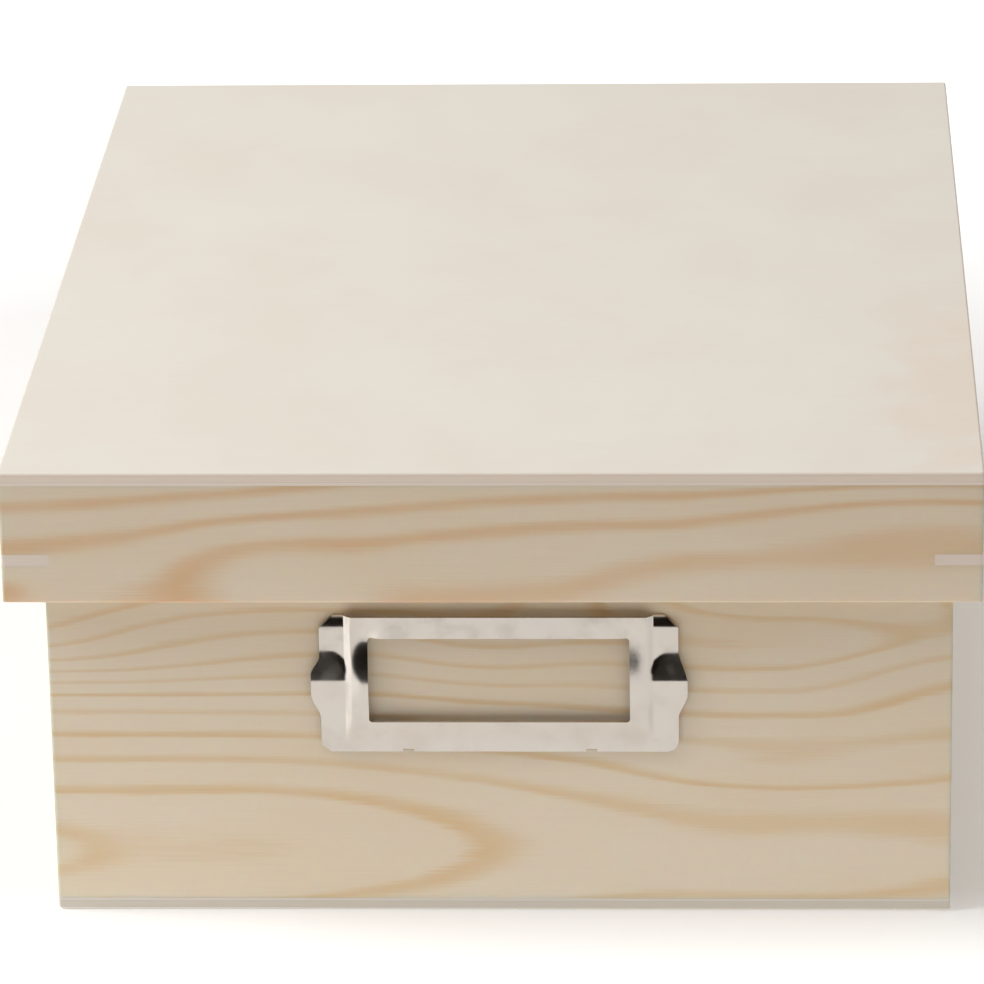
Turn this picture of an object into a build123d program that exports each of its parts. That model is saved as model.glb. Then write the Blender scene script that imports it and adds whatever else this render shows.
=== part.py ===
"""Wooden storage box for photographs, with a lift-off lid and a stamped metal label holder.

Frame: millimetres, +Z up, the front faces -Y. The origin is the centre of the box's underside.
The box is four mitred pine walls on a plywood bottom. The lid is a plywood panel on four mitred
pine rails, each mitre locked by a flat wooden key glued across it. The rails hang outside the
walls, and the panel rests on the walls' rim. The label holder is one piece of pressed steel
sheet: its four prongs are driven into the front wall, and its raised frame is open at the top
for a card.
"""

import os
from math import atan, cos, degrees, radians

from build123d import *

os.makedirs("parts", exist_ok=True)

# --- driving dimensions, mm -----------------------------------------------------------------------

# box
box_width = 205.0  # X, outside of the walls
box_depth = 285.0  # Y, outside of the walls
wall_height = 104.0  # takes 102 mm high prints standing up
wall_thickness = 6.0
bottom_panel_thickness = 3.0  # three-ply plywood, glued under the walls

# lid
rail_thickness = 6.0
rail_height = 28.0
top_panel_thickness = 3.0  # three-ply plywood, glued on the rails
lid_play = 1.5  # gap between walls and rails all round, with the lid centred
lid_offset = -1.2  # where the lid lies along X within its play

# keys across the lid's mitres
key_leg = 10.8  # length that shows on each face
key_thickness = 2.6
key_height = 8.9  # from the rail's lower edge to the key

# rounded arrises
corner_ease = 0.7  # upright outer corners of box and lid
top_arris = 0.5  # upper edge of the lid's panel
bottom_arris = 0.9  # lower edge of the box's bottom panel
sawn_arris = 0.3  # rim of the walls and lower edges of the rails

# label holder: raised frame
sheet = 0.8  # thickness of the steel
holder_height = 33.2
holder_gap = 5.6  # from the lid's lower edge down to the holder
raised_width = 70.7  # over the foot of the sloping steps
pocket_depth = 1.9  # room for a card between the wood and the raised frame
step_run = 1.4  # width of each sloping step
step_bend = 0.8  # outer radius where a step meets the raised face
side_bar = 5.75  # from the foot of a step to the window
top_bar = 5.7
bottom_bar = 7.3
window_radius = 0.8

# label holder: flat edges
flange_height = 4.1  # strip under the raised frame
wing = 5.25  # strip beside the raised frame
top_cut_x = 3.2
top_cut_z = 3.0
bottom_cut_x = 2.2
bottom_cut_z = 3.2

# label holder: ears, with a ridge pressed across them
ear_reach = 2.05  # how far an ear stands out past its wing
ear_shift = 0.5  # from the holder's middle up to the ridge
ear_lower = 7.2  # slope below the ridge
ear_upper = 8.0  # slope above the ridge
ear_rise = 1.7

# label holder: prongs
prong_length = 4.4  # depth in the wood
wing_prong_bend = 1.6  # inner radius
flange_prong_bend = 0.3
flange_prong_width = 2.5
flange_prong_x = 20.8  # from the holder's middle

# --- places worked out from them ------------------------------------------------------------------

rim_z = bottom_panel_thickness + wall_height
lid_low_z = rim_z - rail_height
lid_width = box_width + 2 * (lid_play + rail_thickness)
lid_depth = box_depth + 2 * (lid_play + rail_thickness)
holder_z = lid_low_z - holder_gap - holder_height
wood_y = -box_depth / 2  # front face of the front wall

box_plane = Plane.XY.offset(bottom_panel_thickness)
lid_plane = Plane(origin=(lid_offset, 0, lid_low_z))
key_plane = lid_plane.offset(key_height)
holder_plane = Plane(origin=(0, wood_y, holder_z), x_dir=(1, 0, 0), z_dir=(0, -1, 0))
section_plane = Plane(origin=(0, wood_y, holder_z), x_dir=(0, -1, 0), z_dir=(-1, 0, 0))


def finish(piece, name):
    """Label a finished piece and write its STEP file."""
    piece.part.label = name
    export_step(piece.part, f"parts/{name}.step")


# --- label holder ---------------------------------------------------------------------------------
# Sections through the sheet are drawn on section_plane: X is the distance out of the wood, and
# Y the height above the holder's lower edge.

raised_height = pocket_depth + sheet
step_slope = degrees(atan(step_run / raised_height))
step_wall = sheet / cos(radians(step_slope))  # the sloping sheet, measured along the wood
foot_x = raised_width / 2
wing_x = foot_x + wing
window_size = (raised_width - 2 * side_bar, holder_height - top_bar - bottom_bar)
crest = holder_height / 2 + ear_shift
half_turn = 0.5**0.5  # sine and cosine of 45 degrees

# the raised frame runs past the holder's upper edge here, and is cut off there below
raised_length = 2 * (holder_height - flange_height)
raised_plane = holder_plane * Location((0, flange_height + raised_length / 2, 0))

with BuildPart() as raised_outside:
    with BuildSketch(raised_plane):
        Rectangle(raised_width, raised_length)
    extrude(amount=raised_height, taper=step_slope)
    fillet(raised_outside.faces().sort_by(Axis.Y)[0].edges(), radius=step_bend)

with BuildPart() as raised_inside:
    with BuildSketch(raised_plane):
        Rectangle(raised_width - 2 * step_wall, raised_length - 2 * step_wall)
    extrude(amount=pocket_depth, taper=step_slope)

with BuildPart() as label_holder:
    # right wing: flat at its foot, with the ear's ridge, bent back into a prong at the top
    inner = wing_prong_bend
    outer = wing_prong_bend + sheet
    bend_start = holder_height - outer
    with BuildSketch(section_plane.offset(step_run + sheet - foot_x)):
        with BuildLine():
            Polyline(
                (0, bend_start),
                (0, crest + ear_upper),
                (ear_rise, crest),
                (0, crest - ear_lower),
                (0, 0),
                (sheet, 0),
                (sheet, crest - ear_lower),
                (sheet + ear_rise, crest),
                (sheet, crest + ear_upper),
                (sheet, bend_start),
            )
            ThreePointArc(
                (sheet, bend_start),
                (outer * half_turn - inner, bend_start + outer * half_turn),
                (-inner, holder_height),
            )
            Polyline(
                (-inner, holder_height),
                (-prong_length, holder_height),
                (-prong_length, bend_start + inner),
                (-inner, bend_start + inner),
            )
            ThreePointArc(
                (-inner, bend_start + inner),
                (inner * half_turn - inner, bend_start + inner * half_turn),
                (0, bend_start),
            )
        make_face()
    extrude(amount=-(step_run + sheet + wing + ear_reach))
    # its outline, with the ear and the cut corners
    with BuildSketch(holder_plane):
        Polygon(
            (0, 0),
            (wing_x - bottom_cut_x, 0),
            (wing_x, bottom_cut_z),
            (wing_x, crest - ear_lower),
            (wing_x + ear_reach, crest),
            (wing_x, crest + ear_upper),
            (wing_x, holder_height - top_cut_z),
            (wing_x - top_cut_x, holder_height),
            (0, holder_height),
            align=None,
        )
    extrude(amount=prong_length + ear_rise + sheet, both=True, mode=Mode.INTERSECT)
    # the prong is no wider than the wing
    with BuildSketch(holder_plane):
        Rectangle(foot_x - step_wall, holder_height, align=Align.MIN)
    extrude(amount=-prong_length, mode=Mode.SUBTRACT)
    # flange under the raised frame, with one prong bent back from its lower edge
    with BuildSketch(holder_plane):
        Rectangle(foot_x, flange_height + step_wall, align=Align.MIN)
    extrude(amount=sheet)
    inner = flange_prong_bend
    outer = flange_prong_bend + sheet
    with BuildSketch(holder_plane):
        with Locations((flange_prong_x, 0)):
            Rectangle(flange_prong_width, outer, align=(Align.CENTER, Align.MIN))
    extrude(amount=sheet, mode=Mode.SUBTRACT)
    with BuildSketch(section_plane.offset(flange_prong_width / 2 - flange_prong_x)):
        with BuildLine():
            ThreePointArc((0, outer), (inner * half_turn - inner, outer - inner * half_turn), (-inner, sheet))
            Polyline((-inner, sheet), (-prong_length, sheet), (-prong_length, 0), (-inner, 0))
            ThreePointArc((-inner, 0), (outer * half_turn - inner, outer - outer * half_turn), (sheet, outer))
            Line((sheet, outer), (0, outer))
        make_face()
    extrude(amount=-flange_prong_width)
    mirror(about=Plane.YZ)
    # raised frame round an open pocket for the card
    add(raised_outside.part)
    add(raised_inside.part, mode=Mode.SUBTRACT)
    split(bisect_by=Plane.XY.offset(holder_z + holder_height), keep=Keep.BOTTOM)
    with BuildSketch(holder_plane):
        with Locations((0, bottom_bar)):
            RectangleRounded(*window_size, window_radius, align=(Align.CENTER, Align.MIN))
    extrude(amount=2 * raised_height, mode=Mode.SUBTRACT)
finish(label_holder, "label_holder")

# --- four-sided mitred frames: the box's walls and the lid's rails --------------------------------

# the corners that each side runs between, as signs of X and Y
side_ends = {
    "front": ((-1, -1), (1, -1)),
    "back": ((1, 1), (-1, 1)),
    "left": ((-1, 1), (-1, -1)),
    "right": ((1, -1), (1, 1)),
}


def draw_frame_side(width, depth, thickness, side):
    """Draw the plan of one side of a mitred frame that is width by depth over all."""
    RectangleRounded(width, depth, corner_ease)
    Rectangle(width - 2 * thickness, depth - 2 * thickness, mode=Mode.SUBTRACT)
    x, y, reach = width / 2, depth / 2, 1.5 * thickness
    (x0, y0), (x1, y1) = side_ends[side]
    Polygon(
        (x0 * x, y0 * y),
        (x1 * x, y1 * y),
        (x1 * (x - reach), y1 * (y - reach)),
        (x0 * (x - reach), y0 * (y - reach)),
        align=None,
        mode=Mode.INTERSECT,
    )


def long_edges(piece, side):
    """The edges that run along a frame side, in groups from the lowest to the highest."""
    return piece.edges().filter_by(Axis.X if side in ("front", "back") else Axis.Y).group_by(Axis.Z)


# --- box ------------------------------------------------------------------------------------------

with BuildPart() as box_bottom_panel:
    with BuildSketch():
        RectangleRounded(box_width, box_depth, corner_ease)
    extrude(amount=bottom_panel_thickness)
    fillet(box_bottom_panel.faces().sort_by(Axis.Z)[0].edges(), radius=bottom_arris)
finish(box_bottom_panel, "box_bottom_panel")

for side in side_ends:
    with BuildPart() as box_wall:
        with BuildSketch(box_plane):
            draw_frame_side(box_width, box_depth, wall_thickness, side)
        extrude(amount=wall_height)
        fillet(long_edges(box_wall, side)[-1], radius=sawn_arris)
        if side == "front":
            add(label_holder.part, mode=Mode.SUBTRACT)  # the slots that its prongs cut
    finish(box_wall, f"box_{side}_wall")

# --- lid ------------------------------------------------------------------------------------------

key_corners = {"front_left": (-1, -1), "front_right": (1, -1), "back_left": (-1, 1), "back_right": (1, 1)}


def draw_key(x_sign, y_sign):
    """Draw the plan of a key: a corner of the lid's outline, cut off at 45 degrees."""
    x, y = x_sign * lid_width / 2, y_sign * lid_depth / 2
    RectangleRounded(lid_width, lid_depth, corner_ease)
    Polygon(
        (x, y),
        (x - x_sign * key_leg, y),
        (x, y - y_sign * key_leg),
        align=None,
        mode=Mode.INTERSECT,
    )


with BuildPart() as lid_top_panel:
    with BuildSketch(lid_plane.offset(rail_height)):
        RectangleRounded(lid_width, lid_depth, corner_ease)
    extrude(amount=top_panel_thickness)
    fillet(lid_top_panel.faces().sort_by(Axis.Z)[-1].edges(), radius=top_arris)
finish(lid_top_panel, "lid_top_panel")

for side, ends in side_ends.items():
    with BuildPart() as lid_rail:
        with BuildSketch(lid_plane):
            draw_frame_side(lid_width, lid_depth, rail_thickness, side)
        extrude(amount=rail_height)
        fillet(long_edges(lid_rail, side)[0], radius=sawn_arris)
        for end in ends:
            with BuildSketch(key_plane):
                draw_key(*end)
            extrude(amount=key_thickness, mode=Mode.SUBTRACT)
    finish(lid_rail, f"lid_{side}_rail")

for corner, signs in key_corners.items():
    with BuildPart() as lid_key:
        with BuildSketch(key_plane):
            draw_key(*signs)
        extrude(amount=key_thickness)
    finish(lid_key, f"lid_key_{corner}")
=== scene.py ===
"""Wooden storage box for photographs: its finishes, its pressed metal label holder and a plain studio.

Lengths are in metres where nothing else is said, in the part's own frame: +Z up, the front faces -Y, and
the origin is the centre of the box's underside. Names that end in _mm are in millimetres.
"""

from math import cos, hypot, pi, radians, sin, sqrt

import bmesh
import bpy
from bpy.props import FloatProperty, FloatVectorProperty, PointerProperty
from bpy.types import Operator, Panel, PropertyGroup
from mathutils import Matrix, Vector, noise


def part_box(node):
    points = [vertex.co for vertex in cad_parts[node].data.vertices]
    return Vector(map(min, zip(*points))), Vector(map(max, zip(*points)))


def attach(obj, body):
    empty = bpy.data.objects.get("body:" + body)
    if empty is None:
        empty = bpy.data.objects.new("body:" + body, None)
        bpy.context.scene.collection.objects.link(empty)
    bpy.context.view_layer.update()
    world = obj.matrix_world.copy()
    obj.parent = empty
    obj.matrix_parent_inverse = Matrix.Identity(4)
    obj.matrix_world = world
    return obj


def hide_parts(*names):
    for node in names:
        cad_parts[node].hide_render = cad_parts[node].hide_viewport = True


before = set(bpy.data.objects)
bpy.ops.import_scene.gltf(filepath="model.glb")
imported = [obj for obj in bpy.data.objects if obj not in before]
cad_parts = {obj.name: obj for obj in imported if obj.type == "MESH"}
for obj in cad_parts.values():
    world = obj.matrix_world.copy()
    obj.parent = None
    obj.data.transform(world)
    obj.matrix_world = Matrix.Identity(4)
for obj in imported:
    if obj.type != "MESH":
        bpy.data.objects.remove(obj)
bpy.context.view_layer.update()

bl_info = {
    "name": "Photo Storage Box",
    "version": (1, 0, 0),
    "blender": (4, 5, 0),
    "location": "View3D > Sidebar > Storage Box",
    "description": "Finishes a pine storage box, presses its metal label holder and sets up its studio",
    "category": "Object",
}

MM = 0.001


# --- colours ---


def srgb(hex_code):
    """Linear colour of an sRGB hex value such as "E8DCC8"."""
    channels = [int(hex_code[k : k + 2], 16) / 255 for k in (0, 2, 4)]
    return tuple(c / 12.92 if c <= 0.04045 else ((c + 0.055) / 1.055) ** 2.4 for c in channels)


def colour_property(name, description, hex_code):
    """A colour that a user can change, with its default given as an sRGB hex value."""
    return FloatVectorProperty(
        name=name, description=description, default=srgb(hex_code), size=3, min=0.0, max=1.0, subtype="COLOR"
    )


def length_property(name, description, millimetres):
    """A length that a user can change."""
    return FloatProperty(name=name, description=description, default=millimetres * MM, unit="LENGTH")


def share_property(name, description, default):
    """A share from 0 to 1 that a user can change."""
    return FloatProperty(
        name=name, description=description, default=default, min=0.0, max=1.0, subtype="FACTOR"
    )


def rgba(colour):
    """A colour with full alpha, as node sockets take it."""
    return (*colour, 1.0)


def every(*sizes):
    """Scale of a Mapping node that makes these sizes along x, y and z one unit of its pattern."""
    return tuple(1 / size for size in sizes)


# --- sizes and colours that a user would change ---


class PineFinish(PropertyGroup):
    early: colour_property("Early wood", "Pale spring growth of the pine", "E3D7C4")
    early_warm: colour_property("Early wood, warm", "Spring growth where the board is more yellow", "E2D4BE")
    late: colour_property("Late wood", "Tan summer growth that draws the grain lines", "DABF95")
    late_dark: colour_property("Late wood, dark", "Summer growth of the lid's front rail", "DBBA92")
    ring_width: length_property("Ring width", "Distance between two growth rings of the box's front", 4.38)
    fibre: length_property("Fibre width", "Width of the fine streaks along the grain", 0.35)
    roughness: share_property("Roughness", "Sanded, unfinished wood", 0.62)


class PlywoodFinish(PropertyGroup):
    face: colour_property("Face veneer", "Pale, close-grained veneer of the panels", "E9E5DB")
    face_warm: colour_property("Face veneer, warm", "Clouds of warmer tone in the veneer", "E8E1D6")
    heart: colour_property("Face veneer, heartwood", "Warmer patch at the front right corner", "E8DDD0")
    edge: colour_property("Lid edge", "Outer plies of the lid's panel, seen from the side", "F1E5DA")
    core: colour_property("Lid core", "Core ply of the lid's panel, seen from the side", "EDE0D3")
    # painted shade: the bottom panel's plies are painted darker and greyer than the lid's, for the shade near
    # the floor
    base_edge_painted_shade: colour_property("Bottom edge", "Outer plies of the bottom panel, seen from the side", "DAD4CB")
    base_core_painted_shade: colour_property("Bottom core", "Core ply of the bottom panel, seen from the side", "D0C9BE")


class KeyFinish(PropertyGroup):
    key: colour_property("Key", "Pale hardwood slips across the lid's corners", "EBDFD6")
    key_grain: colour_property("Key grain", "Darker streaks in the slips", "E4D6CA")


class NickelFinish(PropertyGroup):
    nickel: colour_property("Nickel", "Bright nickel plate on steel", "D3CCC4")
    nickel_dull: colour_property("Nickel, dull", "Patches where the plate is a little hazy", "CEC6BD")
    roughness: share_property("Roughness", "Bright plate over rolled steel", 0.15)


class LabelHolderSizes(PropertyGroup):
    sheet: length_property("Sheet", "Thickness of the steel", 0.8)
    raised_width: length_property("Raised frame", "Width of the raised frame, over its steps", 70.0)
    step_run: length_property("Step", "Width of each sloping step", 1.55)
    side_bar: length_property("Side bar", "From the foot of a step to the window", 5.4)
    top_bar: length_property("Top bar", "Above the window", 5.1)
    bottom_bar: length_property("Bottom bar", "Below the window", 7.7)
    window_radius: length_property("Window corner", "Radius of the window's corners", 0.8)
    ear_reach: length_property("Ear", "How far an ear stands out past its wing", 2.05)
    ear_shift: length_property("Ear height", "From the holder's middle up to the ridge of the ears", 0.75)
    ear_lower: length_property("Slope below the ridge", "Height of the slope below an ear's ridge", 7.2)
    ear_upper: length_property("Slope above the ridge", "Height of the slope above an ear's ridge", 7.0)
    ear_rise: length_property("Ridge", "How far an ear's ridge stands out of its wing", 0.95)
    curl: length_property("Curl", "Radius of the wings' curled tops", 5.0)
    wing_gap: length_property("Wing gap", "Gap between the wings and the wood", 0.6)


class StudioSetup(PropertyGroup):
    paper: colour_property("Paper", "White paper that the box stands on", "F0F0F0")
    sky: FloatProperty(name="Ceiling", description="Strength of the soft light from above", default=0.86)
    key: FloatProperty(name="Softbox", description="Power of the softbox", default=20.0, unit="POWER")
    table: FloatProperty(name="Table", description="Strength of the light through the paper", default=0.42)
    room: colour_property("Room", "Dark walls of the studio, as the metal mirrors them", "150F0A")
    fill: colour_property("Fill", "Light that the walls of the studio give back", "857867")
    lens_mm: FloatProperty(
        name="Lens", description="Focal length for a 36 mm sensor", default=223.4, unit="CAMERA"
    )


# --- node trees ---


# Settings that many nodes share. A Mix node takes colours on sockets 6 and 7, single values on 2 and 3.
SMOOTH = {"interpolation_type": "SMOOTHSTEP"}
MIX_COLOURS = {"out": 2, "data_type": "RGBA"}


def add(tree, kind, inputs=None, out=0, **settings):
    """Add a shader node with its settings and links, and return one of its outputs.

    inputs maps a socket's name or number to a value, or to the output that it is linked to.
    """
    node = tree.nodes.new("ShaderNode" + kind)
    for name, value in settings.items():
        setattr(node, name, value)
    for key, value in (inputs or {}).items():
        if isinstance(value, bpy.types.NodeSocket):
            tree.links.new(value, node.inputs[key])
        else:
            node.inputs[key].default_value = value
    return node.outputs[out] if node.outputs else None


def piece_place(tree):
    """Points of a piece in the part's own frame, in millimetres."""
    coordinates = add(tree, "TexCoord", out="Object")
    return add(tree, "Mapping", {"Vector": coordinates, "Scale": every(MM, MM, MM)})


def new_material(name):
    """A node material without any nodes yet."""
    material = bpy.data.materials.new(name)
    material.use_nodes = True
    material.node_tree.nodes.clear()
    return material


def dress(piece, material):
    """Give a piece one material."""
    piece.data.materials.clear()
    piece.data.materials.append(material)


# --- pine ---
# Sanded, unfinished pine. The eye sees pale cream spring growth, tan lines of summer growth with soft,
# slightly ragged edges, and fine streaks of fibre along the board. A board is described by how it was
# sawn from the log, in millimetres in the board's own frame: x along the grain, y into the wood from
# its outer face, z up from the floor.

WOOD_IOR = 1.45
# How deep the grain stands after sanding, which the plywood's veneer shares.
SANDED_RELIEF = 0.03 * MM
# How much smoother summer growth is, because it is denser.
LATE_SMOOTHER = 0.08
# How far a streak of fibre runs along the board, in millimetres, and shifts the edge of a line, in rings.
FIBRE_LENGTH = 22.0
RAGGED_EDGE = 0.09
# Strength of the faintest line of summer growth. The strongest has 1.
FAINTEST_RING = 0.6
# How far a swell of the rings reaches into the log, in millimetres.
SWELL_DEPTH = 90.0

BOARD_TURNS = {"front": 0.0, "left": 90.0, "back": 180.0, "right": -90.0}

# How the two boards in front were sawn. pith_depth is how deep the pith lies behind the face at the two
# ends of pith_run, and first_ring is the radius at which ring number 0 begins. A swell is a place where
# the rings bulge: (along, height), (reach along, reach up), and what it adds to the radius. wobble is
# how far the rings wander elsewhere. band is how far a line of late wood fades out towards the pith and
# towards the bark, in rings, and tone is how light the board is painted; above 1 it is painted light
# that makes up for the weaker light that reaches the board.
FRONT_WALL_LOG = {
    "pith_height": 15.9,
    "pith_depth": (24.7, 32.4),
    "pith_run": (-62.0, 58.0),
    "first_ring": 24.0,
    "swells": [
        ((-115.0, 69.4), (72.0, 20.2), 9.6),
        ((64.0, 80.9), (86.0, 17.3), -20.7),
        ((107.0, 63.6), (45.0, 27.0), -6.8),
        ((-68.0, 60.7), (52.0, 13.5), 2.2),
        ((66.0, 34.8), (51.0, 8.7), 3.1),
        ((-78.0, 69.4), (34.0, 10.6), -1.9),
        ((-5.0, 62.6), (30.0, 14.5), 2.3),
        ((-108.0, 13.5), (26.0, 13.5), -1.9),
        ((66.0, 6.5), (70.0, 15.0), -2.1),
    ],
    "wobble": 0.3,
    "ring_scale": 1.0,
    "band": (0.16, 0.3),
    "late": "late",
    "tone": 1.0,
    "seed": 14.0,
}
FRONT_RAIL_LOG = {
    "pith_height": 79.0,
    "pith_depth": (30.0, 20.5),
    "pith_run": (-123.0, 37.0),
    "first_ring": 18.1,
    "swells": [
        ((-55.0, 91.0), (31.0, 14.0), -1.7),
        ((12.0, 85.0), (41.0, 13.0), 1.9),
        ((98.0, 100.0), (66.0, 13.0), -4.3),
        ((-112.0, 82.0), (14.0, 9.0), -2.0),
    ],
    "wobble": 0.35,
    "ring_scale": 1.11,
    "band": (0.34, 0.3),
    "late": "late_dark",
    # painted light: the rail is painted 3% lighter to make up for the weaker light from the paper that
    # reaches it
    "tone": 1.03,
    "seed": 82.0,
}


def plain_log(height, depth, seed):
    """A board sawn a little off the middle of the log, with rings that swell in two places."""
    return {
        "pith_height": height,
        "pith_depth": (depth, depth + 6.0),
        "pith_run": (-110.0, 90.0),
        "first_ring": depth - 7.0,
        "swells": [
            ((40.0 - 9.0 * seed, height + 50.0), (70.0, 26.0), 7.0),
            ((-60.0 + 7.0 * seed, height + 24.0), (60.0, 22.0), -5.0),
        ],
        "wobble": 1.0,
        "ring_scale": 1.05,
        "band": (0.36, 0.3),
        "late": "late",
        "tone": 1.0,
        "seed": seed,
    }


def board_place(tree, side, face_distance):
    """Points of a board in its own frame, in millimetres. side is the side of the box that it closes."""
    coordinates = add(tree, "TexCoord", out="Object")
    return add(
        tree,
        "Mapping",
        {
            "Vector": coordinates,
            "Location": (0.0, face_distance / MM, 0.0),
            "Rotation": (0.0, 0.0, radians(BOARD_TURNS[side])),
            "Scale": every(MM, MM, MM),
        },
    )


def ring_count(tree, place, log, ring_width_mm):
    """How many growth rings lie between the pith and each point of a board."""
    parts = add(tree, "SeparateXYZ", {0: place}).node.outputs
    start, end = log["pith_run"]
    near, far = log["pith_depth"]
    depth = add(
        tree,
        "MapRange",
        {"Value": parts["X"], "From Min": start, "From Max": end, "To Min": near, "To Max": far},
        **SMOOTH,
    )
    pith = add(tree, "CombineXYZ", {"X": parts["X"], "Y": depth, "Z": log["pith_height"]})
    radius = add(tree, "VectorMath", {0: place, 1: pith}, out="Value", operation="DISTANCE")
    for (along, height), (reach_along, reach_up), gain in log["swells"]:
        reach = (reach_along, SWELL_DEPTH, reach_up)
        local = add(
            tree,
            "Mapping",
            {"Vector": place, "Location": (along, 0.0, height), "Scale": reach},
            vector_type="TEXTURE",
        )
        falloff = add(tree, "TexGradient", {"Vector": local}, out="Fac", gradient_type="SPHERICAL")
        swell = add(tree, "MapRange", {"Value": falloff, "To Max": gain}, **SMOOTH)
        radius = add(tree, "Math", {0: radius, 1: swell}, operation="ADD")
    # the rings also wobble slowly, over about 45 mm along the board and 9 mm up it
    stretched = add(
        tree,
        "Mapping",
        {"Vector": place, "Location": (log["seed"], 0.0, 0.0), "Scale": every(45.0, 30.0, 9.0)},
    )
    wobble = add(tree, "TexNoise", {"Vector": stretched, "Scale": 1.0, "Detail": 2.0, "Roughness": 0.45})
    wobble = add(
        tree, "MapRange", {"Value": wobble, "To Min": -log["wobble"], "To Max": log["wobble"]}, clamp=False
    )
    radius = add(tree, "Math", {0: radius, 1: wobble}, operation="ADD")
    from_first = add(tree, "Math", {0: radius, 1: log["first_ring"]}, operation="SUBTRACT")
    return add(tree, "Math", {0: from_first, 1: ring_width_mm}, operation="DIVIDE")


def late_wood(tree, rings, streaks, place, log):
    """How much of each point is summer growth, from 0 to 1. Every ring has its own strength."""
    # fibres run into and out of a band, so that its edges are ragged along the grain
    middle = 0.5
    least, most = middle - RAGGED_EDGE, middle + RAGGED_EDGE
    ragged = add(
        tree,
        "MapRange",
        {"Value": streaks, "From Min": 0.2, "From Max": 0.8, "To Min": least, "To Max": most},
    )
    shifted = add(tree, "Math", {0: rings, 1: ragged}, operation="ADD")
    number = add(tree, "Math", {0: shifted}, operation="FLOOR")
    share = add(tree, "Math", {0: shifted}, operation="FRACT")
    to_pith, to_bark = log["band"]
    rise = add(tree, "MapRange", {"Value": share, "From Min": middle - to_pith, "From Max": middle}, **SMOOTH)
    fall = add(
        tree,
        "MapRange",
        {"Value": share, "From Min": middle, "From Max": middle + to_bark, "To Min": 1.0, "To Max": 0.0},
        **SMOOTH,
    )
    band = add(tree, "Math", {0: rise, 1: fall}, operation="MULTIPLY")
    own = add(tree, "Math", {0: number, 1: log["seed"]}, operation="ADD")
    strength = add(tree, "TexWhiteNoise", {"W": own}, out="Value", noise_dimensions="1D")
    strength = add(tree, "MapRange", {"Value": strength, "To Min": FAINTEST_RING, "To Max": 1.0})
    band = add(tree, "Math", {0: band, 1: strength}, operation="MULTIPLY")
    # a line is fainter here and there along its length
    patches = add(
        tree,
        "Mapping",
        {"Vector": place, "Location": (log["seed"], 7.0, 0.0), "Scale": every(28.0, 28.0, 8.0)},
    )
    patches = add(tree, "TexNoise", {"Vector": patches, "Scale": 1.0, "Detail": 2.0})
    patches = add(
        tree, "MapRange", {"Value": patches, "From Min": 0.3, "From Max": 0.7, "To Min": 0.75, "To Max": 1.1}
    )
    return add(tree, "Math", {0: band, 1: patches}, operation="MULTIPLY", use_clamp=True)


def early_wood(tree, place, log, finish):
    """Colour of the spring growth, which drifts between cream and a warmer tone."""
    clouds = add(
        tree,
        "Mapping",
        {"Vector": place, "Location": (0.0, 0.0, log["seed"]), "Scale": every(70.0, 40.0, 22.0)},
    )
    clouds = add(tree, "TexNoise", {"Vector": clouds, "Scale": 1.0, "Detail": 2.0})
    clouds = add(tree, "MapRange", {"Value": clouds, "From Min": 0.35, "From Max": 0.65}, **SMOOTH)
    return add(
        tree, "Mix", {"Factor": clouds, 6: rgba(finish.early), 7: rgba(finish.early_warm)}, **MIX_COLOURS
    )


def fibres(tree, place, width_mm, length_mm, seed):
    """Fine streaks along the grain, from 0 to 1."""
    stretched = add(
        tree,
        "Mapping",
        {"Vector": place, "Location": (seed, seed, seed), "Scale": every(length_mm, width_mm, width_mm)},
    )
    return add(tree, "TexNoise", {"Vector": stretched, "Scale": 1.0, "Detail": 3.0, "Roughness": 0.6})


def pine_board(name, side, face_distance, log, finish):
    """Material of one pine board, with grain that runs through it as it was sawn."""
    material = new_material(name)
    tree = material.node_tree
    place = board_place(tree, side, face_distance)
    rings = ring_count(tree, place, log, finish.ring_width / MM * log["ring_scale"])
    streaks = fibres(tree, place, finish.fibre / MM, FIBRE_LENGTH, log["seed"])
    late = late_wood(tree, rings, streaks, place, log)
    # streaks break the late wood up and shade the whole board very slightly
    broken = add(
        tree, "MapRange", {"Value": streaks, "From Min": 0.3, "From Max": 0.7, "To Min": 0.78, "To Max": 1.06}
    )
    late = add(tree, "Math", {0: late, 1: broken}, operation="MULTIPLY", use_clamp=True)
    body = add(
        tree,
        "Mix",
        {"Factor": late, 6: early_wood(tree, place, log, finish), 7: rgba(getattr(finish, log["late"]))},
        **MIX_COLOURS,
    )
    # tone scales the whole board; on the front rail it is painted light
    darkest, lightest = 0.975 * log["tone"], 1.02 * log["tone"]
    shade = add(
        tree,
        "MapRange",
        {"Value": streaks, "From Min": 0.25, "From Max": 0.75, "To Min": darkest, "To Max": lightest},
    )
    colour = add(tree, "VectorMath", {0: body, "Scale": shade}, operation="SCALE")
    roughness = add(
        tree,
        "MapRange",
        {"Value": late, "To Min": finish.roughness, "To Max": finish.roughness - LATE_SMOOTHER},
    )
    height = add(tree, "Math", {0: streaks, 1: 0.5, 2: late}, operation="MULTIPLY_ADD")
    bump = add(tree, "Bump", {"Strength": 0.35, "Distance": SANDED_RELIEF, "Height": height})
    surface = add(
        tree,
        "BsdfPrincipled",
        {
            "Base Color": colour,
            "Roughness": roughness,
            "IOR": WOOD_IOR,
            "Subsurface Weight": 0.5,
            "Subsurface Radius": (1.0, 0.45, 0.2),
            "Subsurface Scale": 1.7 * MM,
            "Normal": bump,
        },
    )
    add(tree, "OutputMaterial", {"Surface": surface})
    return material


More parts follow.
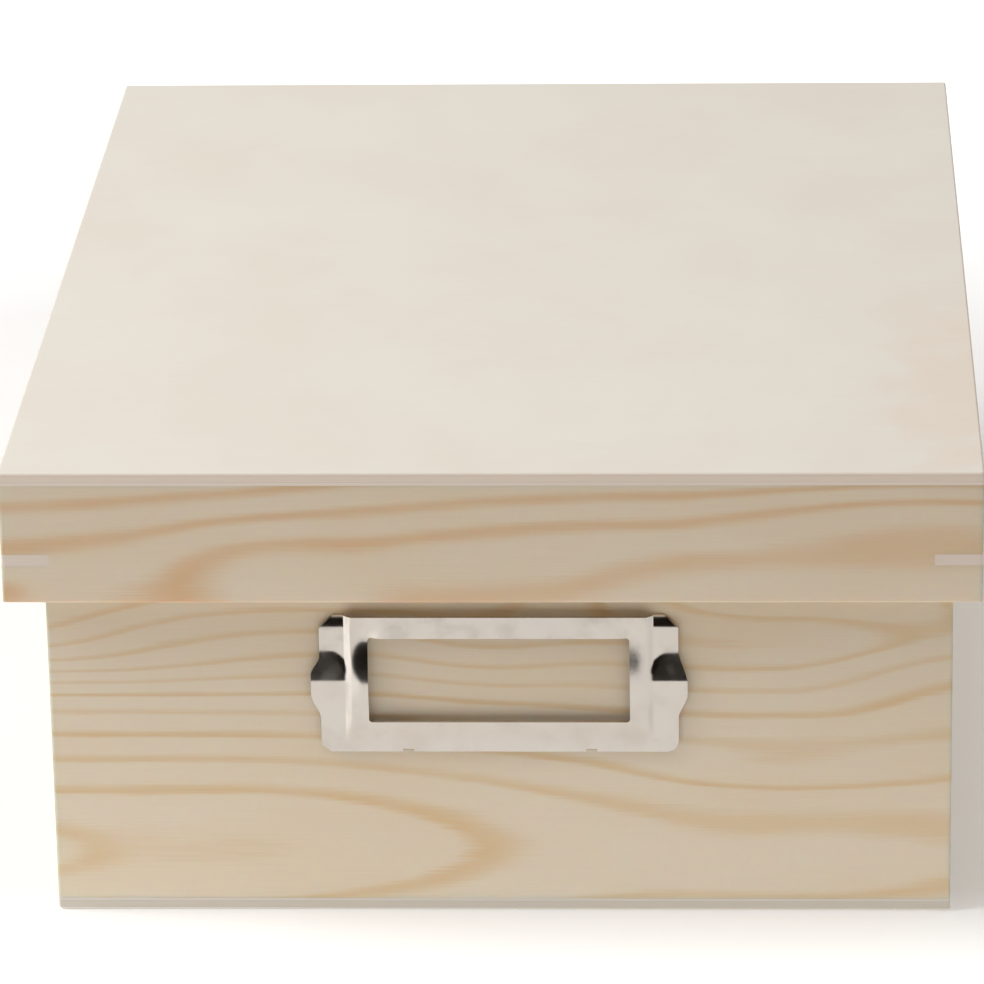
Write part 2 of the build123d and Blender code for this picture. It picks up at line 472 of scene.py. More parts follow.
# --- plywood ---
# Three-ply panel with pale basswood veneer, sanded. The face is nearly plain, with faint clouds, very
# fine streaks and a warmer patch of heartwood. The edge shows two pale outer plies, a slightly darker
# core and thin lines of glue.

# The patch of heartwood: its middle and how far it reaches, in millimetres.
HEART_MIDDLE = (112.0, -95.0)
HEART_REACH = (45.0, 110.0, 45.0)

# Where plies and lines of glue begin and end, as shares of a panel's thickness from below.
PLIES = (
    (0.0, "edge"),
    (0.22, "edge"),
    (0.26, "glue"),
    (0.3, "core"),
    (0.74, "core"),
    (0.78, "glue"),
    (0.82, "edge"),
    (1.0, "edge"),
)
GLUE_SHADE = 0.86


def veneer(tree, place, high_z, streaks, finish):
    """Colour of a panel's faces: clouds, fine streaks, and heartwood near the front right corner."""
    clouds = add(tree, "Mapping", {"Vector": place, "Scale": every(38.0, 55.0, 30.0)})
    clouds = add(tree, "TexNoise", {"Vector": clouds, "Scale": 1.0, "Detail": 4.0, "Roughness": 0.55})
    clouds = add(tree, "MapRange", {"Value": clouds, "From Min": 0.36, "From Max": 0.66}, **SMOOTH)
    corner = add(
        tree,
        "Mapping",
        {"Vector": place, "Location": (*HEART_MIDDLE, high_z / MM), "Scale": HEART_REACH},
        vector_type="TEXTURE",
    )
    heart = add(tree, "TexGradient", {"Vector": corner}, out="Fac", gradient_type="SPHERICAL")
    blotch = add(tree, "TexNoise", {"Vector": place, "Scale": 1 / 14, "Detail": 2.0})
    heart = add(tree, "Math", {0: heart, 1: blotch}, operation="MULTIPLY")
    heart = add(tree, "MapRange", {"Value": heart, "From Min": 0.08, "From Max": 0.4}, **SMOOTH)
    face = add(
        tree, "Mix", {"Factor": clouds, 6: rgba(finish.face), 7: rgba(finish.face_warm)}, **MIX_COLOURS
    )
    face = add(tree, "Mix", {"Factor": heart, 6: face, 7: rgba(finish.heart)}, **MIX_COLOURS)
    shade = add(
        tree,
        "MapRange",
        {"Value": streaks, "From Min": 0.3, "From Max": 0.7, "To Min": 0.985, "To Max": 1.01},
    )
    return add(tree, "VectorMath", {0: face, "Scale": shade}, operation="SCALE")


def ply_edge(tree, place, low_z, high_z, edge, core):
    """Colour of a panel's edge, with its plies one above the other."""
    up = add(tree, "SeparateXYZ", {0: place}).node.outputs["Z"]
    level = add(tree, "MapRange", {"Value": up, "From Min": low_z / MM, "From Max": high_z / MM})
    plies = add(tree, "ValToRGB", {"Fac": level}).node
    glue = rgba(channel * GLUE_SHADE for channel in core)
    colours = {"edge": rgba(edge), "core": rgba(core), "glue": glue}
    while len(plies.color_ramp.elements) < len(PLIES):
        plies.color_ramp.elements.new(1.0)
    for element, (at, ply) in zip(plies.color_ramp.elements, PLIES):
        element.position = at
        element.color = colours[ply]
    grain = add(tree, "Mapping", {"Vector": place, "Scale": every(9.0, 9.0, 0.25)})
    grain = add(tree, "TexNoise", {"Vector": grain, "Scale": 1.0, "Detail": 3.0})
    grain = add(
        tree, "MapRange", {"Value": grain, "From Min": 0.25, "From Max": 0.75, "To Min": 0.98, "To Max": 1.02}
    )
    return add(tree, "VectorMath", {0: plies.outputs["Color"], "Scale": grain}, operation="SCALE")


def plywood_panel(name, low_z, high_z, finish, edge, core):
    """Material of one plywood panel that lies between two heights. Its edge shows the last two colours."""
    material = new_material(name)
    tree = material.node_tree
    place = piece_place(tree)
    streaks = fibres(tree, place, width_mm=0.5, length_mm=30.0, seed=2.0)
    face_colour = veneer(tree, place, high_z, streaks, finish)
    edge_colour = ply_edge(tree, place, low_z, high_z, edge, core)
    # the edge shows wherever the surface stands upright
    normal = add(tree, "NewGeometry", out="Normal")
    upright = add(tree, "SeparateXYZ", {0: normal}).node.outputs["Z"]
    upright = add(tree, "Math", {0: upright}, operation="ABSOLUTE")
    on_face = add(tree, "MapRange", {"Value": upright, "From Min": 0.6, "From Max": 0.9}, **SMOOTH)
    colour = add(tree, "Mix", {"Factor": on_face, 6: edge_colour, 7: face_colour}, **MIX_COLOURS)
    bump = add(tree, "Bump", {"Strength": 0.3, "Distance": SANDED_RELIEF, "Height": streaks})
    surface = add(
        tree, "BsdfPrincipled", {"Base Color": colour, "Roughness": 0.6, "IOR": WOOD_IOR, "Normal": bump}
    )
    add(tree, "OutputMaterial", {"Surface": surface})
    return material


# --- keys ---
# Flat slips of pale hardwood glued into saw cuts across the lid's corners and sanded flush. The eye
# sees a plain strip, paler and less yellow than the rail, with its grain along the cut.


def key_slip(name, finish):
    """Material of the keys."""
    material = new_material(name)
    tree = material.node_tree
    place = piece_place(tree)
    grain = add(tree, "Mapping", {"Vector": place, "Scale": every(6.0, 6.0, 0.35)})
    grain = add(tree, "TexNoise", {"Vector": grain, "Scale": 1.0, "Detail": 3.0})
    colour = add(
        tree, "Mix", {"Factor": grain, 6: rgba(finish.key), 7: rgba(finish.key_grain)}, **MIX_COLOURS
    )
    bump = add(tree, "Bump", {"Strength": 0.3, "Distance": 0.02 * MM, "Height": grain})
    surface = add(
        tree, "BsdfPrincipled", {"Base Color": colour, "Roughness": 0.6, "IOR": WOOD_IOR, "Normal": bump}
    )
    add(tree, "OutputMaterial", {"Surface": surface})
    return material


# --- nickel plate ---
# Bright nickel on thin rolled steel. The eye sees a warm white mirror, a little soft, that bends what
# it reflects, with hazy patches a few millimetres wide.

# How much rougher the plate is where it is hazy.
HAZE_ROUGHER = 0.07


def nickel_plate(name, finish):
    """Material of the label holder."""
    material = new_material(name)
    tree = material.node_tree
    place = piece_place(tree)
    haze = add(tree, "TexNoise", {"Vector": place, "Scale": 1 / 7, "Detail": 4.0, "Roughness": 0.6})
    haze = add(tree, "MapRange", {"Value": haze, "From Min": 0.42, "From Max": 0.7}, **SMOOTH)
    colour = add(
        tree, "Mix", {"Factor": haze, 6: rgba(finish.nickel), 7: rgba(finish.nickel_dull)}, **MIX_COLOURS
    )
    roughness = add(
        tree,
        "MapRange",
        {"Value": haze, "To Min": finish.roughness, "To Max": finish.roughness + HAZE_ROUGHER},
    )
    ripple = add(tree, "TexNoise", {"Vector": place, "Scale": 1 / 3.5, "Detail": 2.0})
    bump = add(tree, "Bump", {"Strength": 0.4, "Distance": 0.05 * MM, "Height": ripple})
    surface = add(
        tree,
        "BsdfPrincipled",
        {"Base Color": colour, "Metallic": 1.0, "Roughness": roughness, "Normal": bump},
    )
    add(tree, "OutputMaterial", {"Surface": surface})
    return material


# --- label holder ---
# A flat blank is cut into small squares, stamped out, pressed and folded. On the blank, x runs across
# from the middle and z up from the holder's lower edge, measured along the sheet.

# Points of the blank closer than this are the same.
SNAP = 1e-6
# Straight cuts that round each corner of the window.
WINDOW_STEPS = 6

# The rest is in millimetres. An ear grows out of its wing over its first two heights and is gone again
# over its last two. A cut corner is (width, height). The two wings differ a little.
LEFT_EAR = (8.1, 14.0, 19.0, 23.5)
RIGHT_EAR = (8.8, 13.5, 17.8, 24.2)
LEFT_CORNER = (2.3, 1.7)
RIGHT_CORNER = (2.6, 2.9)
TOP_CORNER = (3.2, 3.0)
# The ridge across an ear is rounded at its tip and rises over a short way beside the frame. Above its
# crest it draws away from the frame.
RIDGE_TIP = 0.35
RIDGE_START = -1.2
RIDGE_DRAWN_AWAY = 3.4
RIDGE_RISE_WIDTH = 2.0
# The right ear's upper slope is a little shorter, as a share of the left one's.
RIGHT_UPPER_SLOPE = 0.92
# The press has left each side bar full below and hollow above: how much, the height at which it is
# fullest, how far above that it is most hollow, and where this fades out.
LEFT_SWELL = 0.85
RIGHT_SWELL = 0.36
SWELL_FULLEST = 16.0
SWELL_TO_HOLLOW = 12.5
SWELL_LOWER_END = (7.5, 14.5)
SWELL_UPPER_END = (0.0, 4.0)
SWELL_OUTER_SIDE = (34.8, 30.6)
SWELL_INNER_SIDE = (-3.0, 0.0)
# Where the slope along the frame's lower edge begins and ends, and how softly it meets the steps.
BOTTOM_SLOPE = (2.2, 7.6)
CORNER_SOFTNESS = 0.5
# Unevenness of thin sheet: how deep, and over what length.
UNEVEN_DEPTH = 0.03
UNEVEN_LENGTH = 7.0


def spaced(*zones):
    """Places of the cuts across a blank. Each zone is (start, end, spacing)."""
    places = []
    for start, end, spacing in zones:
        count = max(1, round((end - start) / spacing))
        places += [start + (end - start) * k / count for k in range(count + 1)]
    return places


def part_way(length, start, end):
    """How far a length has come on the way from start to end, which are in millimetres."""
    return (length / MM - start) / (end - start)


def ease(value):
    """Ease from 0 to 1."""
    t = min(1.0, max(0.0, value))
    return t * t * (3 - 2 * t)


def slope(value):
    """A straight slope from 0 to 1 with rounded ends."""
    t = min(1.0, max(0.0, value))
    rounding = 0.2
    return (1 - rounding) * t + rounding * ease(t)


def soft_low(a, b, width):
    """The lower of two values, rounded where they meet."""
    h = max(width - abs(a - b), 0.0) / width
    return min(a, b) - h * h * width / 4


def soft_tent(distance, reach, tip):
    """1 at a ridge, falling to 0 over a slope, with a rounded tip and a soft foot."""
    raw = 1 - (sqrt(distance * distance + tip * tip) - tip) / reach
    softness = 0.003
    return (raw + sqrt(raw * raw + softness)) / 2


def fold_back(run, radius, first_turn=pi / 2, end_radius=1.0):
    """How far a sheet goes on and how far back it comes after the start of a bend.

    It turns on one radius as far as first_turn, then on end_radius until it points straight back.
    """
    run = max(run, 0.0)
    turn = min(run / radius, first_turn)
    rest = run - turn * radius
    more = min(rest / end_radius, pi / 2 - first_turn)
    straight = rest - more * end_radius
    both = turn + more
    onward = radius * sin(turn) + end_radius * (sin(both) - sin(turn))
    back = radius * (1 - cos(turn)) + end_radius * (cos(turn) - cos(both)) + straight
    return onward, back


class HolderShape:
    """Places on the label holder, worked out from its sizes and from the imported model, in metres."""

    def __init__(self, sizes):
        low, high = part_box("label_holder")
        self.sizes = sizes
        self.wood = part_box("box_front_wall")[0].y
        self.low = low.z
        self.height = high.z - low.z
        self.raised = self.wood - low.y
        self.prong = high.y - self.wood
        self.foot = sizes.raised_width / 2
        self.wing = high.x - sizes.ear_reach
        self.wing_out = sizes.sheet + sizes.wing_gap
        self.crest = self.height / 2 + sizes.ear_shift
        self.window_x = self.foot - sizes.side_bar
        self.window_low = sizes.bottom_bar
        self.window_high = self.height - sizes.top_bar
        # the wings curl gently to the wood, then turn sharply into it
        self.curl_turn = radians(33)
        self.curl_end = 0.6 * MM
        self.curl_rise = sizes.curl * sin(self.curl_turn) + self.curl_end * (1 - sin(self.curl_turn))
        self.curl_start = self.height - self.curl_rise
        self.tab_radius = sizes.sheet + 0.3 * MM
        self.tab_x = 20.8 * MM
        self.tab_half = 1.25 * MM

    def edge(self, side, z):
        """Outer edge of a wing at a height, with its ear and its cut corners."""
        grows, grown, shrinks, gone = LEFT_EAR if side < 0 else RIGHT_EAR
        width, height = LEFT_CORNER if side < 0 else RIGHT_CORNER
        growing, shrinking = part_way(z, grows, grown), part_way(z, gone, shrinks)
        corner = min(1.0, max(0.0, part_way(z, height, 0.0)))
        if side < 0:
            ear = ease(growing) * ease(shrinking)
            bottom_cut = width * corner
        else:
            ear = slope(growing) * slope(shrinking)
            bottom_cut = width * (1 - sqrt(1 - corner * corner))
        width, height = TOP_CORNER
        top_cut = width * max(0.0, part_way(z - self.height, -height, 0.0))
        return self.wing + self.sizes.ear_reach * ear - (top_cut + bottom_cut) * MM

    def relief(self, x, z):
        """How far the sheet's front stands out of the wood at a point of the blank."""
        s = self.sizes
        side = abs(x)
        # each wing has a ridge across its ear
        crest_up = z - self.crest
        upper = s.ear_upper if x < 0 else RIGHT_UPPER_SLOPE * s.ear_upper
        ridge = soft_tent(crest_up, upper if crest_up > 0 else s.ear_lower, RIDGE_TIP * MM)
        drawn_away = RIDGE_DRAWN_AWAY * max(0.0, crest_up / upper) ** 2
        past_foot = (max(side, self.foot) - self.foot) / MM - RIDGE_START - drawn_away
        wing = self.wing_out + s.ear_rise * ridge * ease(past_foot / RIDGE_RISE_WIDTH + 0.5)
        # the frame is pressed out, and its side bars are full below and hollow above
        swell = LEFT_SWELL if x < 0 else RIGHT_SWELL
        wave = cos(pi * part_way(z, SWELL_FULLEST, SWELL_FULLEST + SWELL_TO_HOLLOW))
        ends = ease(part_way(z, *SWELL_LOWER_END)) * ease(part_way(self.height - z, *SWELL_UPPER_END))
        sides = ease(part_way(side, *SWELL_OUTER_SIDE))
        sides *= ease(part_way(side - self.window_x, *SWELL_INNER_SIDE))
        frame_level = self.raised + swell * MM * wave * ends * sides
        # a step leads up to it at both sides and a long slope along the bottom
        in_side = (self.foot - side) / s.step_run
        in_bottom = part_way(z, *BOTTOM_SLOPE)
        on_frame = slope(soft_low(in_side, in_bottom, CORNER_SOFTNESS))
        out = wing + (frame_level - wing) * on_frame
        return out + UNEVEN_DEPTH * MM * noise.noise(Vector((x, 0.0, z)) / (UNEVEN_LENGTH * MM))


def stamp_blank(shape):
    """The flat blank as small squares, with its window, tabs and prongs cut free."""
    s = shape.sizes
    quarter = pi / 2
    curl_run = s.curl * shape.curl_turn + shape.curl_end * (quarter - shape.curl_turn)
    prong_top = shape.curl_start + curl_run + shape.prong
    tab_low_end = shape.tab_radius * (1 - quarter) - shape.prong
    blank = bmesh.new()
    bmesh.ops.create_grid(blank, x_segments=1, y_segments=1, size=1.0)
    bmesh.ops.rotate(blank, verts=blank.verts, matrix=Matrix.Rotation(quarter, 3, "X"))
    bmesh.ops.scale(blank, verts=blank.verts, vec=(shape.wing, 1.0, (prong_top - tab_low_end) / 2))
    bmesh.ops.translate(blank, verts=blank.verts, vec=(0.0, 0.0, (prong_top + tab_low_end) / 2))
    tab_near, tab_far = shape.tab_x - shape.tab_half, shape.tab_x + shape.tab_half
    corner = s.window_radius
    beside_step = shape.foot + 1.2 * MM
    half = spaced(
        (0.0, tab_near, 1.2 * MM),
        (tab_near, tab_far, 0.6 * MM),
        (tab_far, shape.window_x - corner, 1.2 * MM),
        (shape.window_x - corner, shape.window_x, corner),
        (shape.window_x, shape.foot - s.step_run, 0.35 * MM),
        (shape.foot - s.step_run, shape.foot, 0.15 * MM),
        (shape.foot, beside_step, 0.2 * MM),
        (beside_step, shape.wing, 0.4 * MM),
    )
    columns = half + [-x for x in half]
    rows = spaced(
        (tab_low_end, 0.0, 0.35 * MM),
        (0.0, shape.tab_radius, 0.28 * MM),
        (shape.tab_radius, shape.window_low, 0.4 * MM),
        (shape.window_low, shape.window_low + corner, corner),
        (shape.window_low + corner, shape.window_high - corner, 0.35 * MM),
        (shape.window_high - corner, shape.window_high, corner),
        (shape.window_high, shape.curl_start, 0.35 * MM),
        (shape.curl_start, shape.curl_start + curl_run, 0.2 * MM),
        (shape.curl_start + curl_run, shape.height, 0.2 * MM),
        (shape.height, prong_top, 0.5 * MM),
    )
    for axis, places in ((Vector((1, 0, 0)), columns), (Vector((0, 0, 1)), rows)):
        for place in places:
            everything = blank.verts[:] + blank.edges[:] + blank.faces[:]
            bmesh.ops.bisect_plane(blank, geom=everything, plane_co=axis * place, plane_no=axis, dist=SNAP)
    round_window(blank, shape)

    def waste(face):
        """Whether a square falls out of the blank."""
        centre = face.calc_center_median()
        side, z = abs(centre.x), centre.z
        past_top = z > shape.height and side < shape.foot
        past_bottom = z < 0 and not tab_near < side < tab_far
        return in_window(shape, side, z) or past_top or past_bottom

    def torn(edge):
        """Whether the sheet is cut through along this edge."""
        a, b = (vert.co for vert in edge.verts)
        side, z = abs(a.x), (a.z + b.z) / 2
        beside_curl = abs(side - shape.foot) < SNAP and z > shape.curl_start
        beside_tab = min(abs(side - tab_near), abs(side - tab_far)) < SNAP and z < shape.tab_radius
        return abs(a.x - b.x) < SNAP and (beside_curl or beside_tab)

    bmesh.ops.delete(blank, geom=[face for face in blank.faces if waste(face)], context="FACES")
    bmesh.ops.split_edges(blank, edges=[edge for edge in blank.edges if torn(edge)])
    return blank


def in_window(shape, side, z):
    """Whether a point of the blank lies in the window, whose corners are round."""
    radius = shape.sizes.window_radius
    middle = (shape.window_low + shape.window_high) / 2
    past_x = side - (shape.window_x - radius)
    past_z = abs(z - middle) - ((shape.window_high - shape.window_low) / 2 - radius)
    if past_x > 0 and past_z > 0:
        return hypot(past_x, past_z) < radius * cos(pi / 4 / WINDOW_STEPS)
    return max(past_x, past_z) < radius


def round_window(blank, shape):
    """Cut the blank along the arcs of the window's corners, with short straight cuts."""
    radius = shape.sizes.window_radius
    for x_sign in (-1, 1):
        for z_edge, z_sign in ((shape.window_low, -1), (shape.window_high, 1)):
            centre = Vector((x_sign * (shape.window_x - radius), 0.0, z_edge - z_sign * radius))
            for k in range(WINDOW_STEPS):
                angle = (k + 0.5) / WINDOW_STEPS * pi / 2
                normal = Vector((x_sign * cos(angle), 0.0, z_sign * sin(angle)))
                faces = []
                for face in blank.faces:
                    offset = face.calc_center_median() - centre
                    if 0 < offset.x * x_sign < radius and 0 < offset.z * z_sign < radius:
                        faces.append(face)
                parts = faces + [*{e for f in faces for e in f.edges}, *{v for f in faces for v in f.verts}]
                chord = centre + normal * radius * cos(pi / 4 / WINDOW_STEPS)
                bmesh.ops.bisect_plane(blank, geom=parts, plane_co=chord, plane_no=normal, dist=SNAP)


def press_blank(blank, shape):
    """Press the flat blank into its relief and fold its curls and tabs back."""
    s = shape.sizes
    tab_near, tab_far = shape.tab_x - shape.tab_half, shape.tab_x + shape.tab_half
    pressed = []
    for vert in blank.verts:
        flat = vert.co
        middle = sum((f.calc_center_median() for f in vert.link_faces), Vector()) / len(vert.link_faces)
        side = 1 if flat.x > 0 else -1
        on_wing = abs(middle.x) > shape.foot and flat.z > shape.curl_start
        on_tab = tab_near < abs(middle.x) < tab_far and max(flat.z, middle.z) < shape.tab_radius
        x, z, back = flat.x, flat.z, 0.0
        if on_wing:
            rise, back = fold_back(flat.z - shape.curl_start, s.curl, shape.curl_turn, shape.curl_end)
            z = shape.curl_start + rise
        elif on_tab:
            drop, back = fold_back(shape.tab_radius - flat.z, shape.tab_radius)
            z = shape.tab_radius - drop
        if abs(x) > shape.foot:
            across = (abs(x) - shape.foot) / (shape.wing - shape.foot)
            x = side * (shape.foot + across * (shape.edge(side, z) - shape.foot))
        out = shape.wing_out if on_wing or on_tab else shape.relief(x, z)
        pressed.append(Vector((x, shape.wood - out + back, shape.low + z)))
    for vert, place in zip(blank.verts, pressed):
        vert.co = place


def make_label_holder(sizes):
    """The label holder as one pressed sheet."""
    shape = HolderShape(sizes)
    blank = stamp_blank(shape)
    press_blank(blank, shape)
    mesh = bpy.data.meshes.new("label_holder_sheet")
    blank.to_mesh(mesh)
    blank.free()
    holder = bpy.data.objects.new("label_holder_sheet", mesh)
    bpy.context.scene.collection.objects.link(holder)
    for polygon in mesh.polygons:
        polygon.use_smooth = True
    wall = holder.modifiers.new("wall", "SOLIDIFY")
    wall.thickness = sizes.sheet
    wall.offset = -1.0
    wall.use_even_offset = True
    easing = holder.modifiers.new("easing", "BEVEL")
    easing.width = 0.1 * MM
    easing.segments = 2
    easing.limit_method = "ANGLE"
    easing.angle_limit = radians(50)
    easing.harden_normals = True
    return holder


# --- operators ---


class STORAGEBOX_OT_pine(Operator):
    """Finish the box's walls and the lid's rails as sanded pine"""

    bl_idname = "storagebox.pine"
    bl_label = "Pine walls and rails"

    def execute(self, context):
        finish = context.scene.storagebox_pine
        logs = {
            "box_front_wall": FRONT_WALL_LOG,
            "box_back_wall": plain_log(height=30.0, depth=30.0, seed=2.0),
            "box_left_wall": plain_log(height=70.0, depth=24.0, seed=5.0),
            "box_right_wall": plain_log(height=44.0, depth=27.0, seed=8.0),
            "lid_front_rail": FRONT_RAIL_LOG,
            "lid_back_rail": plain_log(height=84.0, depth=22.0, seed=4.0),
            "lid_left_rail": plain_log(height=70.0, depth=26.0, seed=7.0),
            "lid_right_rail": plain_log(height=98.0, depth=22.0, seed=9.0),
        }
        for node, log in logs.items():
            side = node.split("_")[1]
            low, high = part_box(node)
            distance = {"front": -low.y, "back": high.y, "left": -low.x, "right": high.x}[side]
            dress(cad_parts[node], pine_board("sanded_pine_" + node, side, distance, log, finish))
        return {"FINISHED"}


class STORAGEBOX_OT_plywood(Operator):
    """Finish the lid's top panel and the box's bottom panel as three-ply"""

    bl_idname = "storagebox.plywood"
    bl_label = "Plywood panels"

    def execute(self, context):
        finish = context.scene.storagebox_plywood
        edges = {
            "lid_top_panel": (finish.edge, finish.core),
            # the bottom panel's edge colours carry painted shade near the floor
            "box_bottom_panel": (finish.base_edge_painted_shade, finish.base_core_painted_shade),
        }
        for node, (edge, core) in edges.items():
            low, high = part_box(node)
            material = plywood_panel("basswood_ply_" + node, low.z, high.z, finish, edge, core)
            dress(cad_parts[node], material)
        return {"FINISHED"}


class STORAGEBOX_OT_keys(Operator):
    """Finish the keys across the lid's corners"""

    bl_idname = "storagebox.keys"
    bl_label = "Corner keys"

    def execute(self, context):
        material = key_slip("sanded_basswood_key", context.scene.storagebox_keys)
        for node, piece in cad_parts.items():
            if node.startswith("lid_key"):
                dress(piece, material)
        return {"FINISHED"}


class STORAGEBOX_OT_label_holder(Operator):
    """Press the label holder from sheet and plate it"""

    bl_idname = "storagebox.label_holder"
    bl_label = "Label holder"

    def execute(self, context):
        holder = make_label_holder(context.scene.storagebox_holder)
        dress(holder, nickel_plate("bright_nickel_plate", context.scene.storagebox_nickel))
        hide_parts("label_holder")
        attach(holder, "box")
        return {"FINISHED"}


class STORAGEBOX_OT_studio(Operator):
    """Set up the camera, the white paper, the room light and the softbox"""

    bl_idname = "storagebox.studio"
    bl_label = "Studio"

    def execute(self, context):
        setup = context.scene.storagebox_studio
        make_camera(context, setup)
        make_paper(setup)
        make_room(context, setup)
        make_softbox(context, setup)
        context.scene.view_settings.view_transform = "Standard"
        return {"FINISHED"}


# --- studio ---

# Where the camera stands, and how far it is turned to the left, tipped down and rolled, in degrees.
CAMERA_PLACE = (0.058794, -1.421687, 0.582695)
CAMERA_TURN = 2.6724
CAMERA_DOWN = 20.5478
CAMERA_ROLL = -1.003

SOFTBOX_SIDE = 0.9
SOFTBOX_PLACE = Vector((-1.3, -0.25, 1.2))
SOFTBOX_AIM = Vector((0.0, 0.0, 0.05))

# How far the paper reaches to the front, the back and either side, and how far it lies below the box,
# so that the two share no surface.
PAPER_FRONT = -0.4
PAPER_BACK = 2.4
PAPER_SIDE = 2.0
PAPER_DROP = 0.05 * MM
# The middle of the light through the paper, and how far from there it begins to fade and ends.
TABLE_LIGHT = (-0.05, 0.0, 0.0)
TABLE_LIGHT_FADES = (0.2, 0.7)

WHITE = (1.0, 1.0, 1.0, 1.0)


def make_camera(context, setup):
    """A long lens that looks down at the front of the box from a little to its right."""
    camera = bpy.data.objects.new("camera", bpy.data.cameras.new("camera"))
    camera.data.lens = setup.lens_mm
    camera.data.sensor_width = 36.0
    camera.data.clip_start = 0.05
    camera.data.clip_end = 50.0
    turn = Matrix.Rotation(radians(CAMERA_TURN), 4, "Z")
    tilt = Matrix.Rotation(radians(90.0 - CAMERA_DOWN), 4, "X")
    roll = Matrix.Rotation(radians(CAMERA_ROLL), 4, "Z")
    camera.matrix_world = Matrix.Translation(CAMERA_PLACE) @ turn @ tilt @ roll
    context.scene.collection.objects.link(camera)
    context.scene.camera = camera


def stage_plane(name, size_x, size_y, placement):
    """A flat stage piece."""
    card = bmesh.new()
    bmesh.ops.create_grid(card, x_segments=1, y_segments=1, size=0.5)
    bmesh.ops.scale(card, verts=card.verts, vec=(size_x, size_y, 1.0))
    bmesh.ops.transform(card, verts=card.verts, matrix=placement)
    mesh = bpy.data.meshes.new(name)
    card.to_mesh(mesh)
    card.free()
    piece = bpy.data.objects.new(name, mesh)
    bpy.context.scene.collection.objects.link(piece)
    return piece


def make_paper(setup):
    """White paper on a lit table, cut off a little way in front of the box.

    Its light from below is what lights the front. It looks overexposed to the camera, as in a
    catalogue, but keeps the box's shadow, which a weaker glow close beside the box deepens as painted
    shade. To the metal it glows brighter on the left, as a painted reflection. A camera under the table
    sees through it.
    """
    material = new_material("white_paper")
    tree = material.node_tree
    coordinates = add(tree, "TexCoord", out="Object")
    place = add(tree, "SeparateXYZ", {0: coordinates}).node.outputs
    away = add(tree, "VectorMath", {0: coordinates, 1: TABLE_LIGHT}, out="Value", operation="DISTANCE")
    # what the paper gives the box
    fades, ends = TABLE_LIGHT_FADES
    cast = add(
        tree,
        "MapRange",
        {"Value": away, "From Min": fades, "From Max": ends, "To Min": setup.table, "To Max": 0.0},
    )
    # painted reflection: a glow that only the metal sees, brighter to the left, which brightens the holder's
    # steps that face left
    painted_reflection = add(
        tree,
        "MapRange",
        {"Value": place["X"], "From Min": -0.08, "From Max": -0.18, "To Min": 0.12, "To Max": 0.45},
    )
    # what the camera sees: a weaker glow close beside the box, which deepens the box's shadow on the paper as
    # painted shade, and a brighter one in front of the box and far from it
    front = add(
        tree,
        "MapRange",
        {"Value": place["Y"], "From Min": -0.13, "From Max": -0.19, "To Min": 0.08, "To Max": 0.4},
    )
    far = add(tree, "MapRange", {"Value": away, "From Min": 0.3, "From Max": 0.6, "To Max": 0.6})
    seen = add(tree, "Math", {0: front, 1: far}, operation="ADD")
    rays = add(tree, "LightPath").node.outputs
    unseen = add(tree, "Mix", {"Factor": rays["Is Glossy Ray"], 2: cast, 3: painted_reflection}, data_type="FLOAT")
    strength = add(tree, "Mix", {"Factor": rays["Is Camera Ray"], 2: unseen, 3: seen}, data_type="FLOAT")
    matte = add(tree, "BsdfDiffuse", {"Color": rgba(setup.paper)})
    glow = add(tree, "Emission", {"Color": WHITE, "Strength": strength})
    lit = add(tree, "AddShader", {0: matte, 1: glow})
    underneath = add(tree, "NewGeometry", out="Backfacing")
    looked_through = add(tree, "Math", {0: rays["Is Camera Ray"], 1: underneath}, operation="MULTIPLY")
    clear = add(tree, "BsdfTransparent")
    surface = add(tree, "MixShader", {0: looked_through, 1: lit, 2: clear})
    add(tree, "OutputMaterial", {"Surface": surface})
    placement = Matrix.Translation((0.0, (PAPER_FRONT + PAPER_BACK) / 2, -PAPER_DROP))
    paper = stage_plane("paper", 2 * PAPER_SIDE, PAPER_BACK - PAPER_FRONT, placement)
    dress(paper, material)


def make_room(context, setup):
    """A wide pale ceiling over walls that fill the shadows and that the metal mirrors as dark.

    The camera sees plain white.
    """
    world = bpy.data.worlds.new("studio_room")
    world.use_nodes = True
    tree = world.node_tree
    tree.nodes.clear()
    direction = add(tree, "TexCoord", out="Generated")
    height = add(tree, "SeparateXYZ", {0: direction}).node.outputs["Z"]
    overhead = add(tree, "MapRange", {"Value": height, "From Min": 0.55, "From Max": 0.75}, **SMOOTH)
    ceiling = rgba((setup.sky, setup.sky, setup.sky))
    rays = add(tree, "LightPath").node.outputs
    walls = add(
        tree,
        "Mix",
        {"Factor": rays["Is Glossy Ray"], 6: rgba(setup.fill), 7: rgba(setup.room)},
        **MIX_COLOURS,
    )
    room = add(tree, "Mix", {"Factor": overhead, 6: walls, 7: ceiling}, **MIX_COLOURS)
    colour = add(tree, "Mix", {"Factor": rays["Is Camera Ray"], 6: room, 7: WHITE}, **MIX_COLOURS)
    light = add(tree, "Background", {"Color": colour})
    add(tree, "OutputWorld", {"Surface": light})
    context.scene.world = world


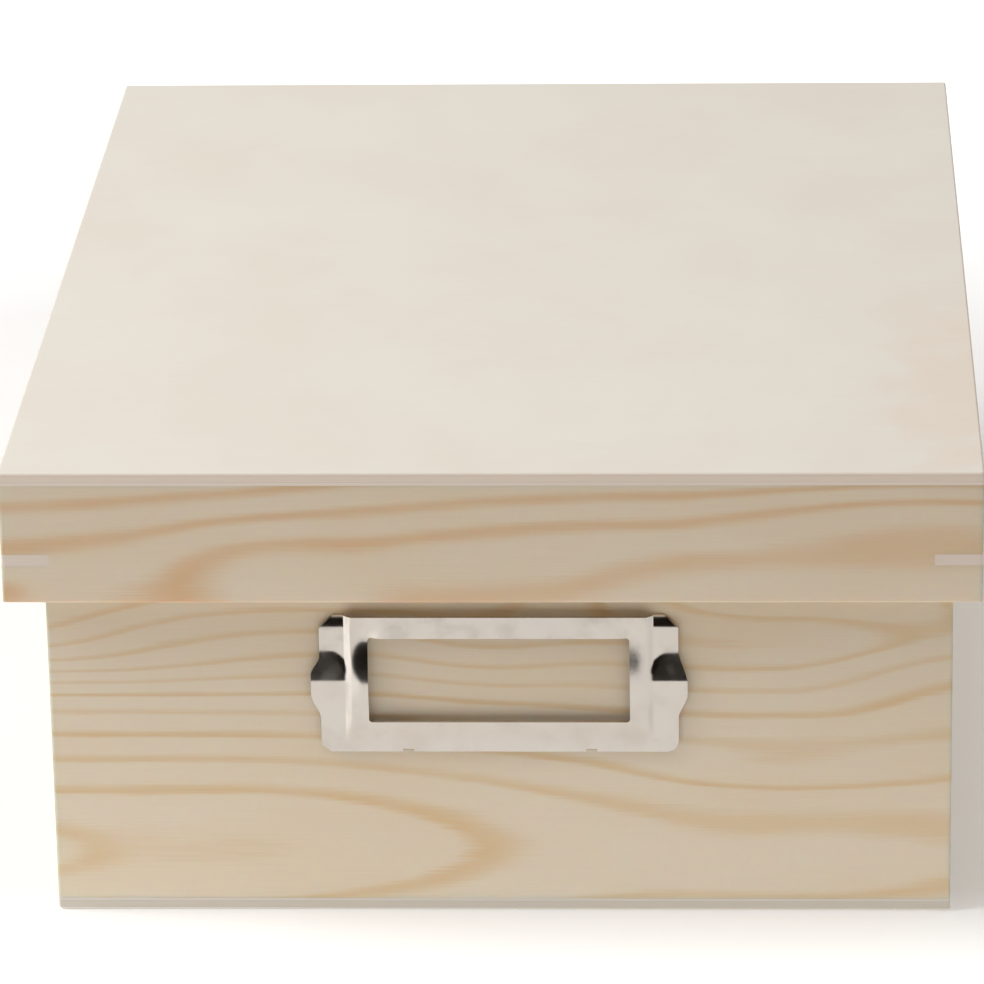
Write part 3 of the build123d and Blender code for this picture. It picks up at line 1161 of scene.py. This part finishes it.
def make_softbox(context, setup):
    """A large softbox high on the left."""
    light = bpy.data.lights.new("softbox", "AREA")
    light.shape = "RECTANGLE"
    light.size = SOFTBOX_SIDE
    light.size_y = SOFTBOX_SIDE
    light.energy = setup.key
    softbox = bpy.data.objects.new("softbox", light)
    turned = (SOFTBOX_AIM - SOFTBOX_PLACE).to_track_quat("-Z", "Y").to_matrix().to_4x4()
    softbox.matrix_world = Matrix.Translation(SOFTBOX_PLACE) @ turned
    context.scene.collection.objects.link(softbox)


# --- panel ---


class STORAGEBOX_PT_panel(Panel):
    """Lists the steps that finish the storage box"""

    bl_idname = "STORAGEBOX_PT_panel"
    bl_label = "Storage Box"
    bl_space_type = "VIEW_3D"
    bl_region_type = "UI"
    bl_category = "Storage Box"

    def draw(self, context):
        for operator in STEPS:
            self.layout.operator(operator.bl_idname)
        for group in GROUPS.values():
            box = self.layout.box()
            settings = getattr(context.scene, "storagebox_" + group)
            for name in settings.__annotations__:
                box.prop(settings, name)


# --- registration ---

GROUPS = {
    PineFinish: "pine",
    PlywoodFinish: "plywood",
    KeyFinish: "keys",
    NickelFinish: "nickel",
    LabelHolderSizes: "holder",
    StudioSetup: "studio",
}
STEPS = (
    STORAGEBOX_OT_pine,
    STORAGEBOX_OT_plywood,
    STORAGEBOX_OT_keys,
    STORAGEBOX_OT_label_holder,
    STORAGEBOX_OT_studio,
)


def register():
    """Register the add-on's classes and its settings on the scene."""
    for cls in (*GROUPS, *STEPS, STORAGEBOX_PT_panel):
        bpy.utils.register_class(cls)
    for cls, name in GROUPS.items():
        setattr(bpy.types.Scene, "storagebox_" + name, PointerProperty(type=cls))


def unregister():
    """Undo register."""
    for name in GROUPS.values():
        delattr(bpy.types.Scene, "storagebox_" + name)
    for cls in reversed((*GROUPS, *STEPS, STORAGEBOX_PT_panel)):
        bpy.utils.unregister_class(cls)


def main():
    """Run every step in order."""
    register()
    for operator in STEPS:
        group, name = operator.bl_idname.split(".")
        getattr(getattr(bpy.ops, group), name)()


if __name__ == "__main__":
    main()
